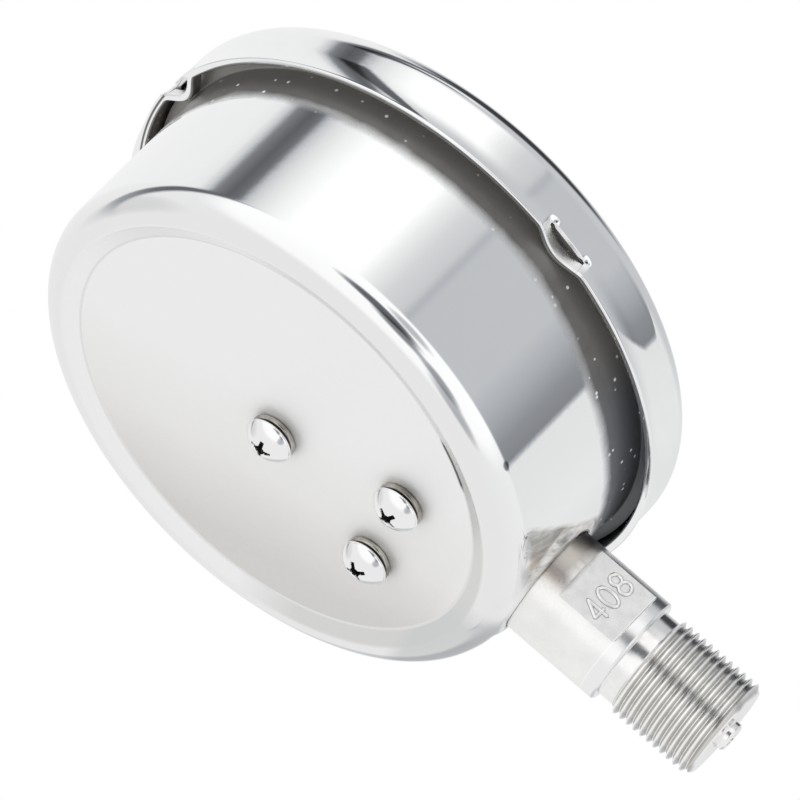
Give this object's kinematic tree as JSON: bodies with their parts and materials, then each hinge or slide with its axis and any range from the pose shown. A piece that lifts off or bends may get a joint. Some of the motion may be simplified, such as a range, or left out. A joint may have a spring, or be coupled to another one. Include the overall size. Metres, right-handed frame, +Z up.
{
  "type": "liquid-filled pressure gauge",
  "caption": "Round steel-cased pressure gauge filled with damping oil, with a turned ring, a cross-screwed back and a threaded stem at the bottom.",
  "frame": {"origin": "on the stem axis at the top of the process thread, under its neck", "axes": "+Z up along the stem axis toward the case, -Y out of the dial toward the reader, +X to the reader's right"},
  "size_m": [0.1112, 0.0508, 0.1487],
  "materials": {
    "case_steel": "polished",
    "ring_steel": "polished",
    "glass": "clear",
    "black_rubber": "matt",
    "screw_steel": "polished",
    "washer_steel": "plain",
    "fibre": "matt",
    "stem_steel": "satin",
    "brass": "turned",
    "tube_steel": "drawn",
    "arbor_steel": "turned",
    "spring_alloy": "bright",
    "dial_white": "matt",
    "black_metal": "matt"
  },
  "bodies": {
    "gauge": {"case": "case_steel", "bezel_ring": "ring_steel", "window_glass": "glass", "window_gasket": "black_rubber", "fill_plug": "black_rubber", "back_screws": "screw_steel", "spring_washers": "washer_steel", "foot_gasket": "fibre", "socket": "stem_steel", "socket_gasket": "fibre", "restrictor_screw": "brass", "bourdon_tube": "tube_steel", "hairspring": "spring_alloy", "hairspring_stud": "brass", "movement_rear_plate": "brass", "movement_front_plate": "brass", "movement_pillars": "brass", "movement_screws": "arbor_steel", "dial_plate": "dial_white", "dial_posts": "brass", "dial_screws": "black_metal", "stop_pin": "black_metal"},
    "pointer": {"pinion_spindle": "arbor_steel", "hairspring_collet": "brass", "pointer": "black_metal", "pointer_hub": "brass"},
    "sector": {"sector_gear": "brass", "sector_arbor": "arbor_steel", "tail_pin": "brass"},
    "tip": {"tube_tip": "tube_steel", "tip_pin": "brass"},
    "link": {"link": "brass"}
  },
  "joints": [
    {"name": "pointer_turn", "type": "hinge", "parent": "gauge", "child": "pointer", "pos_m": [0, 0, 0.0731], "axis": [0, 1, 0], "range_deg": [0, 270], "stiffness_Nm_per_rad": 0.0005, "springref_deg": -34.38, "deforming": ["hairspring"]},
    {"name": "sector_turn", "type": "hinge", "parent": "gauge", "child": "sector", "pos_m": [0.012, 0, 0.05232], "axis": [0, 1, 0], "range_deg": [-18.01, 0]},
    {"name": "tube_flex", "type": "hinge", "parent": "gauge", "child": "tip", "pos_m": [-0.00553, 0, 0.08213], "axis": [0, 1, 0], "range_deg": [-6.91, 0], "deforming": ["bourdon_tube"]},
    {"name": "link_swing", "type": "hinge", "parent": "tip", "child": "link", "pos_m": [0.022, 0, 0.06463], "axis": [0, 1, 0], "range_deg": [0, 14.69]}
  ],
  "couplings": [
    {"joint": "sector_turn", "follows": "pointer_turn", "ratio": -0.066667},
    {"joint": "tube_flex", "follows": "pointer_turn", "ratio": -0.025563},
    {"joint": "link_swing", "follows": "pointer_turn", "ratio": 0.054363}
  ]
}
